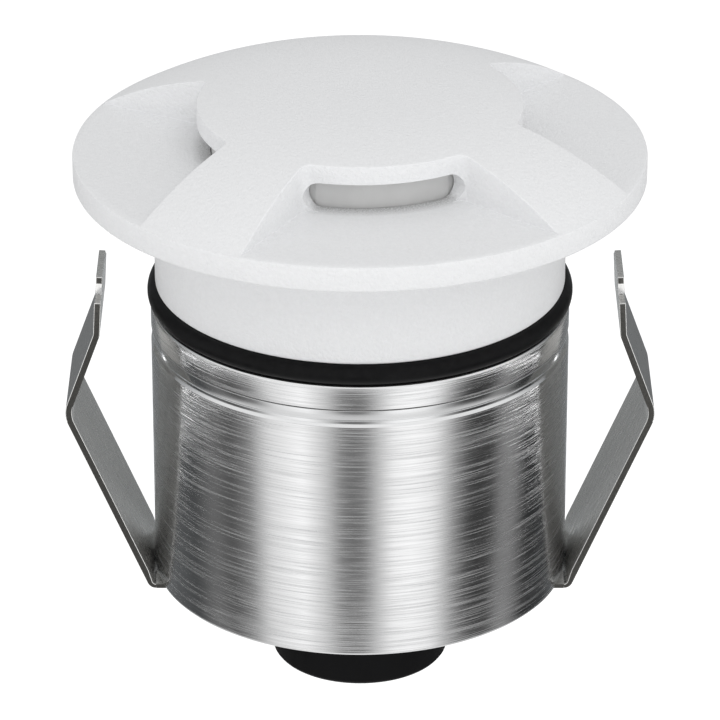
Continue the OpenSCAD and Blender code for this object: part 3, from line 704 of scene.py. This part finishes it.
# Mixes two colours by an amount, each a socket or a plain colour
def mixColours(nodes, links, amount, first, second):
    mix = nodes.new("ShaderNodeMix")
    mix.data_type = "RGBA"
    links.new(amount, mix.inputs["Factor"])
    for side, colour in (("A", first), ("B", second)):
        if isinstance(colour, bpy.types.NodeSocket):
            links.new(colour, mix.inputs[side])
        else:
            mix.inputs[side].default_value = (*colour, 1)
    return mix.outputs["Result"]


# Painted shade on a slot's floor, darkest beside the diffuser and flecked by a grain
paintedShade = {"inner": 16.9, "outer": 19.1, "height": 3.15, "fade": 0.5, "colour": (0.42, 0.42, 0.42),
        "grain": (5, 5, 5), "speckle": (0.5, 1.3, 0.35, 0.65)}


# Darkens a colour on the slots' floors with painted shade
def addPaintedShade(nodes, links, colour):
    place = nodes.new("ShaderNodeTexCoord")
    parts = nodes.new("ShaderNodeSeparateXYZ")
    links.new(place.outputs["Object"], parts.inputs["Vector"])
    byRadius = spread(nodes, links, axisDistance(nodes, links, place), 1, 0, paintedShade["inner"] * mm,
                      paintedShade["outer"] * mm)
    byHeight = spread(nodes, links, parts.outputs["Z"], 1, 0, paintedShade["height"] * mm,
                      (paintedShade["height"] + paintedShade["fade"]) * mm)
    speckle = spread(nodes, links, grainNode(nodes, links, paintedShade["grain"]), *paintedShade["speckle"])
    amount = mathNode(nodes, links, "MULTIPLY", byRadius, byHeight)
    amount = mathNode(nodes, links, "MULTIPLY", amount, speckle)
    return mixColours(nodes, links, amount, colour, paintedShade["colour"])


# One finish from a dictionary: two colours mixed by a grain, a spread of roughness and layers of bump
def makeFinish(name, look):
    material, nodes, links, output = blankMaterial(name)
    shader = nodes.new("ShaderNodeBsdfPrincipled")
    links.new(shader.outputs["BSDF"], output.inputs["Surface"])
    shader.inputs["Metallic"].default_value = look.get("metal", 0)
    shader.inputs["Specular IOR Level"].default_value = look.get("specular", 0.5)
    shader.inputs["IOR"].default_value = 1.5
    if "coat" in look:
        shader.inputs["Coat Weight"].default_value = look["coat"]
        shader.inputs["Coat Roughness"].default_value = 0.1
    if "inner" in look:  # light that wanders inside, up to about 2 mm
        shader.inputs["Subsurface Weight"].default_value = look["inner"]
        shader.inputs["Subsurface Radius"].default_value = (2 * mm, 2 * mm, 2 * mm)
        shader.inputs["Subsurface Scale"].default_value = 1
    grain = spread(nodes, links, grainNode(nodes, links, look["grain"]), 0, 1)
    colour = mixColours(nodes, links, grain, look["colour"], look["colourTwo"])
    # painted shade on the slots' floors
    if look.get("paintedSlotShade"):
        colour = addPaintedShade(nodes, links, colour)
    links.new(colour, shader.inputs["Base Color"])
    roughGrain = grainNode(nodes, links, look.get("roughGrain", look["grain"]), look.get("roughDetail", 3))
    roughRange = look.get("roughRange", (0.3, 0.7))
    links.new(spread(nodes, links, roughGrain, *look["rough"], *roughRange), shader.inputs["Roughness"])
    last = None
    for scales, height, detail in look["bumps"]:
        bump = nodes.new("ShaderNodeBump")
        bump.inputs["Strength"].default_value = 1
        bump.inputs["Distance"].default_value = height * mm
        links.new(grainNode(nodes, links, scales, detail), bump.inputs["Height"])
        if last:
            links.new(last, bump.inputs["Normal"])
        last = bump.outputs["Normal"]
    if last:
        links.new(last, shader.inputs["Normal"])
    return material


# A grain is three scales per mm, and a bump is (scales per mm, height in mm, detail)
finishes = {
    "white_coat": {
        "colour": (0.85, 0.855, 0.865), "colourTwo": (0.822, 0.827, 0.837), "rough": (0.5, 0.62),
        "grain": (2.2, 2.2, 2.2), "specular": 0.35, "paintedSlotShade": True,
        "bumps": [((2.6, 2.6, 2.6), 0.14, 6), ((9, 9, 9), 0.012, 2)]},
    # the diffuser's grey is partly its own translucent opal and partly painted shade of the slot it sits
    # behind
    "opal": {
        "colour": (0.62, 0.62, 0.615), "colourTwo": (0.59, 0.59, 0.585), "rough": (0.42, 0.55),
        "grain": (0.5, 0.5, 0.5), "inner": 0.3, "bumps": [((6, 6, 6), 0.003, 2)]},
    "clear_silicone": {
        "colour": (0.62, 0.63, 0.63), "colourTwo": (0.55, 0.56, 0.56), "rough": (0.3, 0.45),
        "grain": (0.8, 0.8, 0.8), "bumps": [((3, 3, 3), 0.006, 3)]},
    "turned_aluminium": {
        "colour": (0.80, 0.80, 0.80), "colourTwo": (0.70, 0.70, 0.71), "rough": (0.28, 0.4), "metal": 1,
        "grain": (0.2, 0.2, 6), "bumps": [((0.15, 0.15, 9), 0.004, 3)]},
    "black_rubber": {
        "colour": (0.004, 0.004, 0.0044), "colourTwo": (0.007, 0.007, 0.0074), "rough": (0.3, 0.42),
        "grain": (0.9, 0.9, 0.9), "specular": 0.09,
        "bumps": [((4, 4, 4), 0.006, 4), ((0.5, 0.5, 0.5), 0.02, 2)]},
    "brushed_steel": {
        "colour": (0.84, 0.842, 0.846), "colourTwo": (0.70, 0.702, 0.706), "rough": (0.11, 0.4), "metal": 1,
        "grain": (0.08, 0.08, 5), "roughRange": (0.45, 0.72),
        "bumps": [((0.1, 0.1, 6), 0.016, 2), ((0.12, 0.12, 13), 0.005, 1)]},
    "turned_band": {
        "colour": (0.81, 0.815, 0.82), "colourTwo": (0.77, 0.775, 0.78), "rough": (0.12, 0.18), "metal": 1,
        "grain": (0.1, 0.1, 9), "bumps": [((0.05, 0.05, 9), 0.001, 2)]},
    "turned_face": {
        "colour": (0.80, 0.803, 0.807), "colourTwo": (0.66, 0.663, 0.667), "rough": (0.2, 0.42), "metal": 1,
        "grain": (0, 4, 4), "roughGrain": (0, 3, 3), "roughDetail": 5,
        "bumps": [((0, 5, 5), 0.02, 4), ((1.5, 1.5, 1.5), 0.003, 3)]},
    # painted shade: the dark line in the fine groove above the can's band
    "groove_shade": {
        "colour": (0.10, 0.10, 0.10), "colourTwo": (0.05, 0.05, 0.05), "rough": (0.4, 0.6), "metal": 1,
        "grain": (0.8, 0.8, 3), "bumps": [((1, 1, 6), 0.003, 2)]},
    "spring_steel": {
        "colour": (0.70, 0.69, 0.665), "colourTwo": (0.62, 0.611, 0.588), "rough": (0.24, 0.34),
        "metal": 0.8, "grain": (0.25, 2.5, 0.25), "roughGrain": (0.5, 4, 0.5),
        "bumps": [((0.3, 7, 0.3), 0.002, 3), ((1.5, 1.5, 1.5), 0.003, 3)]},
    # a darker copy of the spring steel for the arms' outer faces: painted shade
    "outer_steel_shaded": {
        "colour": (0.55, 0.548, 0.54), "colourTwo": (0.48, 0.478, 0.47), "rough": (0.26, 0.36), "metal": 1,
        "grain": (0.25, 2.5, 0.25), "roughGrain": (0.5, 4, 0.5),
        "bumps": [((0.3, 7, 0.3), 0.002, 3), ((1.5, 1.5, 1.5), 0.003, 3)]},
    # painted highlight on the arms' rounded edges and bend faces that look upwards
    "painted_edge_highlight": {
        "colour": (0.97, 0.965, 0.95), "colourTwo": (0.90, 0.895, 0.88), "rough": (0.2, 0.3), "metal": 1,
        "grain": (2, 2, 2), "bumps": [((6, 0.6, 6), 0.004, 2)]},
    # dark cut faces, and painted shade on the arms' rounded edges that face down
    "dark_edge_and_shade": {
        "colour": (0.13, 0.128, 0.12), "colourTwo": (0.08, 0.078, 0.073), "rough": (0.3, 0.45), "metal": 1,
        "grain": (3, 3, 3), "bumps": [((6, 0.6, 6), 0.01, 3)]},
    "thermal_silicone": {
        "colour": (0.36, 0.50, 0.62), "colourTwo": (0.32, 0.46, 0.58), "rough": (0.6, 0.75),
        "grain": (1.2, 1.2, 1.2), "bumps": [((5, 5, 5), 0.01, 3)]},
    "white_solder_mask": {
        "colour": (0.82, 0.82, 0.80), "colourTwo": (0.77, 0.77, 0.75), "rough": (0.25, 0.35),
        "grain": (0.6, 0.6, 0.6), "bumps": [((3, 3, 3), 0.004, 2)]},
    "phosphor": {
        "colour": (0.86, 0.72, 0.22), "colourTwo": (0.80, 0.64, 0.16), "rough": (0.3, 0.45),
        "grain": (3, 3, 3), "inner": 0.2, "bumps": [((9, 9, 9), 0.003, 2)]},
    "plain_steel": {
        "colour": (0.62, 0.62, 0.61), "colourTwo": (0.50, 0.50, 0.49), "rough": (0.25, 0.4), "metal": 1,
        "grain": (1.5, 1.5, 6), "bumps": [((2, 2, 9), 0.004, 3)]},
    "white_plastic": {
        "colour": (0.80, 0.80, 0.78), "colourTwo": (0.76, 0.76, 0.74), "rough": (0.35, 0.5),
        "grain": (0.7, 0.7, 0.7), "bumps": [((5, 5, 5), 0.004, 2)]},
    "brass": {
        "colour": (0.78, 0.58, 0.26), "colourTwo": (0.66, 0.46, 0.19), "rough": (0.25, 0.4), "metal": 1,
        "grain": (0.6, 0.6, 5), "bumps": [((0.5, 0.5, 8), 0.004, 3)]},
    "green_laminate": {
        "colour": (0.022, 0.115, 0.045), "colourTwo": (0.015, 0.085, 0.032), "rough": (0.25, 0.4),
        "grain": (2.2, 2.2, 2.2), "coat": 0.3, "bumps": [((3.5, 3.5, 1), 0.006, 1)]},
    "capacitor_sleeve": {
        "colour": (0.010, 0.014, 0.05), "colourTwo": (0.014, 0.020, 0.065), "rough": (0.2, 0.32),
        "grain": (0.8, 0.8, 0.8), "bumps": [((2, 2, 2), 0.004, 2)]},
    "ferrite": {
        "colour": (0.035, 0.034, 0.034), "colourTwo": (0.055, 0.053, 0.052), "rough": (0.55, 0.75),
        "grain": (5, 5, 5), "bumps": [((7, 7, 7), 0.01, 4)]},
    "copper_wire": {
        "colour": (0.62, 0.22, 0.08), "colourTwo": (0.48, 0.15, 0.05), "rough": (0.2, 0.3), "metal": 1,
        "grain": (0.4, 0.4, 6), "coat": 0.4, "bumps": [((0.05, 0.05, 4), 0.08, 1)]},
    "black_epoxy": {
        "colour": (0.016, 0.016, 0.017), "colourTwo": (0.026, 0.026, 0.027), "rough": (0.5, 0.65),
        "grain": (4, 4, 4), "bumps": [((8, 8, 8), 0.006, 3)]},
    "terminal_plastic": {
        "colour": (0.05, 0.24, 0.11), "colourTwo": (0.04, 0.20, 0.09), "rough": (0.35, 0.5),
        "grain": (0.9, 0.9, 0.9), "bumps": [((5, 5, 5), 0.005, 2)]},
    "lead_insulation": {
        "colour": (0.45, 0.03, 0.025), "colourTwo": (0.38, 0.022, 0.02), "rough": (0.35, 0.48),
        "grain": (1, 1, 1), "bumps": [((4, 4, 4), 0.004, 2)]},
    "gland_nylon": {
        "colour": (0.004, 0.004, 0.0044), "colourTwo": (0.006, 0.006, 0.0064), "rough": (0.5, 0.65),
        "grain": (0.7, 0.7, 0.7), "specular": 0.09, "bumps": [((5, 5, 5), 0.006, 3)]},
}
made = {finishName: makeFinish(finishName, look) for finishName, look in finishes.items()}
print("finishes made:", len(made))


def dress(piece, finish, body, slotName, *nodes):
    piece.data.materials.clear()
    piece.data.materials.append(made[finish])
    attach(piece, body)
    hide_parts(*nodes)


dress(capShell, "white_coat", "cap", "white_coat", "trim_cap")
dress(cupPiece, "opal", "cap", "opal", "diffuser")
dress(sealRing, "black_rubber", "seal", "black_rubber", "neck_seal")
dress(canShell, "brushed_steel", "housing", "brushed_steel", "can")
dress(strap, "spring_steel", "housing", "spring_steel", "spring_strap")
dress(leftArm, "spring_steel", "left_arm", "spring_steel", "left_spring_arm")
dress(rightArm, "spring_steel", "right_arm", "spring_steel", "right_spring_arm")
dress(flangePiece, "gland_nylon", "housing", "gland_nylon", "gland_body")
dress(nutPiece, "gland_nylon", "gland_end", "gland_nylon", "gland_cap")


# The strip's cut edges are dark. On the arms the rounded edges that see the sky get a painted highlight,
# those that face down get painted shade, bend faces that point up get the painted highlight too, and the
# outer faces are painted darker, as shade, and a little duller than the inner ones
def paintStrip(piece, isArm):
    # the dark cut face with painted shade, the painted highlight, and the darker outer copy as painted
    # shade
    for finish in ("dark_edge_and_shade", "painted_edge_highlight", "outer_steel_shaded"):
        piece.data.materials.append(made[finish])
    for face in piece.data.polygons:
        x, y, z = face.normal
        if abs(y) > strip["cutFace"]:
            face.material_index = 1
        elif isArm and abs(y) > strip["roundFace"]:
            face.material_index = 2 if z > strip["litFace"] else 1
        elif isArm and z > strip["apexFace"] and abs(x) > strip["roundFace"]:
            face.material_index = 2
        elif isArm and x * face.center.x > 0:
            face.material_index = 3


# The can's turned band is smoother than its brushed side, with a dark line of painted shade at its top, and
# the flat faces have rings
def paintCan(piece):
    for finish in ("turned_band", "groove_shade", "turned_face"):
        piece.data.materials.append(made[finish])
    for face in piece.data.polygons:
        z, r = face.center.z / mm, face.center.xy.length / mm
        if abs(face.normal.z) > can["flatFace"]:
            face.material_index = 3
        elif r > can["outside"] and can["bandFoot"] < z < can["bandTop"]:
            face.material_index = 1
        elif r > can["outside"] and can["bandTop"] <= z < can["grooveTop"]:
            face.material_index = 2


paintStrip(leftArm, True)
paintStrip(rightArm, True)
paintStrip(strap, False)
paintCan(canShell)

# The nodes that keep their CAD mesh
kept = {
    "diffuser_gasket": "clear_silicone", "retaining_ring": "turned_aluminium",
    "heat_sink": "turned_aluminium", "snap_ring": "spring_steel", "thermal_pad": "thermal_silicone",
    "led_board": "white_solder_mask", "led_chips": "phosphor", "board_screws": "plain_steel",
    "reflector": "white_plastic", "driver_spacers": "brass", "driver_board": "green_laminate",
    "driver_screws": "plain_steel", "capacitor": "capacitor_sleeve", "inductor_core": "ferrite",
    "inductor_winding": "copper_wire", "rectifier": "black_epoxy", "driver_chip": "black_epoxy",
    "terminal_block": "terminal_plastic", "terminal_screws": "plain_steel",
    "led_leads": "lead_insulation", "lock_nut": "gland_nylon", "nut_washer": "black_rubber",
    "cable_grommet": "black_rubber", "slip_washer": "plain_steel",
}
for name, finish in kept.items():
    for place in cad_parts[name].material_slots:
        place.material = made[finish]
print("finishes placed")


# Floor, world and camera: places are in metres, lens and sensor in mm
stage = {
    "floorHeight": -0.16, "floorSize": 30, "floorColour": (0.8, 0.8, 0.8), "floorGlow": 0.45,
    "worldLevel": 0.75,
    "camera": (0, -0.50783, 0.22234), "aim": (0, 0, -0.02369), "lens": 244.5, "sensor": 36,
    "clip": (0.01, 50),
}
# Lamps are (place, aim, size, watts)
lamps = {
    "front_softbox": ((0.1, -1.05, -0.25), (0, 0, -0.02), 0.9, 2.3),
    "left_fill": ((-0.9, -0.5, -0.14), (0, 0, -0.01), 0.6, 2.2),
    "right_fill": ((0.9, -0.5, -0.14), (0, 0, -0.01), 0.6, 2.2),
    "top_softbox": ((0.2, -0.7, 0.9), (0, 0, 0), 0.9, 2.8),
}


# 1 for rays of any of these kinds
def rayKinds(nodes, links, kinds):
    path = nodes.new("ShaderNodeLightPath")
    total = path.outputs[kinds[0]]
    for kind in kinds[1:]:
        total = mathNode(nodes, links, "MAXIMUM", total, path.outputs[kind])
    return total


# Mixes two shaders by an amount
def mixShaders(nodes, links, amount, first, second):
    mix = nodes.new("ShaderNodeMixShader")
    links.new(amount, mix.inputs["Fac"])
    links.new(first, mix.inputs[1])
    links.new(second, mix.inputs[2])
    return mix.outputs["Shader"]


# White wherever it is seen or mirrored, and dimmer as a light
def makeWorld():
    world = bpy.data.worlds.new("studio")
    bpy.context.scene.world = world
    world.use_nodes = True
    nodes, links = world.node_tree.nodes, world.node_tree.links
    nodes.clear()
    output = nodes.new("ShaderNodeOutputWorld")
    seen, plain = nodes.new("ShaderNodeBackground"), nodes.new("ShaderNodeBackground")
    for light, level in ((seen, 1), (plain, stage["worldLevel"])):
        light.inputs["Color"].default_value = (1, 1, 1, 1)
        light.inputs["Strength"].default_value = level
    kinds = rayKinds(nodes, links, ("Is Camera Ray", "Is Glossy Ray", "Is Transmission Ray"))
    both = mixShaders(nodes, links, kinds, plain.outputs["Background"], seen.outputs["Background"])
    links.new(both, output.inputs["Surface"])


# Pale paper that looks white and keeps the shadow, and is clear from below
def makeFloor():
    deselectAll()
    bpy.ops.mesh.primitive_plane_add(size=stage["floorSize"], location=(0, 0, stage["floorHeight"]))
    floor = bpy.context.active_object
    floor.name = "floor"
    material, nodes, links, output = blankMaterial("floor_paper")
    paper = nodes.new("ShaderNodeBsdfDiffuse")
    paper.inputs["Color"].default_value = (*stage["floorColour"], 1)
    glow = nodes.new("ShaderNodeEmission")
    glow.inputs["Color"].default_value = (1, 1, 1, 1)
    glow.inputs["Strength"].default_value = stage["floorGlow"]
    both = nodes.new("ShaderNodeAddShader")
    links.new(paper.outputs["BSDF"], both.inputs[0])
    links.new(glow.outputs["Emission"], both.inputs[1])
    kinds = rayKinds(nodes, links, ("Is Camera Ray", "Is Transmission Ray"))
    above = mixShaders(nodes, links, kinds, paper.outputs["BSDF"], both.outputs["Shader"])
    clear = nodes.new("ShaderNodeBsdfTransparent")
    facing = nodes.new("ShaderNodeNewGeometry")
    sides = mixShaders(nodes, links, facing.outputs["Backfacing"], above, clear.outputs["BSDF"])
    links.new(sides, output.inputs["Surface"])
    floor.data.materials.append(material)
    floor.visible_glossy = False


# What the metal mirrors: a tall round screen with light and dark strips, seen by glossy rays only
# Strips are (degrees from the camera's side, level), turning towards +X
tent = {
    "radius": 0.45, "height": 2.0, "columns": 128, "strength": 1.25,
    "strips": [(-180, 0.5), (-169, 0.45), (-164, 0.18), (-150, 0.15), (-126, 0.09), (-104, 0.055),
               (-88, 0.13), (-74, 0.07), (-62, 0.18), (-50, 0.68), (-40, 0.82), (-31, 0.94), (-19, 0.58),
               (-10, 0.19), (-4, 0.13), (2, 0.15), (9, 0.45), (18, 0.88), (28, 0.95), (40, 0.82),
               (52, 0.25), (60, 0.06), (66, 0.035), (76, 0.045), (84, 0.2), (92, 0.2), (104, 0.02),
               (126, 0.04), (150, 0.15), (164, 0.18), (169, 0.45), (180, 0.5)],
    "highStrips": [(-180, 0.22), (-115, 0.22), (-85, 0.8), (85, 0.8), (115, 0.22), (180, 0.22)],
    "coolFrom": 100, "cool": (0.96, 1.0, 1.025),  # the strips behind are a little blue
    "edgeTurn": 2.06, "edgeHeight": -0.228, "edgeSlope": -9.2, "edgeWidth": 0.085, "edgeLevel": 2.8,
    "lowFrom": -0.38, "lowTo": -0.44, "lowShare": 0.8, "lowLevel": 0.66,
    "highFrom": -0.18, "highTo": -0.08, "highShare": 0.9,
}


# Colours round the screen from a list of strips, where share is 0 to 1 for a whole turn
def stripRamp(nodes, links, share, strips):
    ramp = nodes.new("ShaderNodeValToRGB")
    points = ramp.color_ramp.elements
    for angle, _ in strips[1:-1]:
        points.new((angle + 180) / 360)
    for point, (angle, level) in zip(points, strips):
        tint = tent["cool"] if abs(angle) > tent["coolFrom"] else (1, 1, 1)
        point.color = (level * tint[0], level * tint[1], level * tint[2], 1)
    links.new(share, ramp.inputs["Fac"])
    return ramp.outputs["Color"]


def makeTent():
    deselectAll()
    bpy.ops.mesh.primitive_cylinder_add(vertices=tent["columns"], radius=tent["radius"],
                                        depth=tent["height"], end_fill_type="NOTHING")
    screen = bpy.context.active_object
    screen.name = "tent"
    material, nodes, links, output = blankMaterial("tent_cloth")
    place = nodes.new("ShaderNodeTexCoord")
    parts = nodes.new("ShaderNodeSeparateXYZ")
    links.new(place.outputs["Object"], parts.inputs["Vector"])
    height = parts.outputs["Z"]
    towardsCamera = mathNode(nodes, links, "MULTIPLY", parts.outputs["Y"], -1.0)
    turn = mathNode(nodes, links, "ARCTAN2", parts.outputs["X"], towardsCamera)
    share = spread(nodes, links, turn, 0, 1, -math.pi, math.pi)
    middle = stripRamp(nodes, links, share, tent["strips"])
    above = stripRamp(nodes, links, share, tent["highStrips"])
    # a slanted bright line on each side, which the can mirrors just inside the spring arms' edges
    side = mathNode(nodes, links, "ABSOLUTE", turn)
    line = mathNode(nodes, links, "MULTIPLY_ADD", height, tent["edgeSlope"],
                    tent["edgeTurn"] - tent["edgeSlope"] * tent["edgeHeight"])
    gap = mathNode(nodes, links, "ABSOLUTE", mathNode(nodes, links, "SUBTRACT", side, line))
    near = spread(nodes, links, gap, 1, 0, 0, tent["edgeWidth"])
    middle = mixColours(nodes, links, near, middle, [tent["edgeLevel"]] * 3)
    # below the height that the can's side mirrors the screen is evenly pale, above it has wide strips
    low = spread(nodes, links, height, 0, tent["lowShare"], tent["lowFrom"], tent["lowTo"])
    high = spread(nodes, links, height, 0, tent["highShare"], tent["highFrom"], tent["highTo"])
    colour = mixColours(nodes, links, low, middle, [tent["lowLevel"]] * 3)
    colour = mixColours(nodes, links, high, colour, above)
    glow = nodes.new("ShaderNodeEmission")
    links.new(colour, glow.inputs["Color"])
    glow.inputs["Strength"].default_value = tent["strength"]
    links.new(glow.outputs["Emission"], output.inputs["Surface"])
    screen.data.materials.append(material)
    screen.visible_camera = screen.visible_diffuse = screen.visible_shadow = False
    screen.visible_transmission = screen.visible_volume_scatter = False


def areaLamp(name, place, aim, size, watts):
    lamp = bpy.data.lights.new(name, "AREA")
    lamp.shape, lamp.size, lamp.energy = "DISK", size, watts
    piece = bpy.data.objects.new(name, lamp)
    bpy.context.collection.objects.link(piece)
    piece.location = place
    piece.rotation_euler = (Vector(aim) - Vector(place)).to_track_quat("-Z", "Y").to_euler()
    piece.visible_glossy = False


def makeCamera():
    data = bpy.data.cameras.new("camera")
    piece = bpy.data.objects.new("camera", data)
    bpy.context.collection.objects.link(piece)
    piece.location = stage["camera"]
    way = Vector(stage["aim"]) - Vector(stage["camera"])
    piece.rotation_euler = way.to_track_quat("-Z", "Y").to_euler()
    data.lens, data.sensor_width = stage["lens"], stage["sensor"]
    data.clip_start, data.clip_end = stage["clip"]
    bpy.context.scene.camera = piece


makeWorld()
makeFloor()
makeTent()
for lampName, setting in lamps.items():
    areaLamp(lampName, *setting)
makeCamera()
bpy.context.scene.view_settings.view_transform = "Standard"
print("stage set")
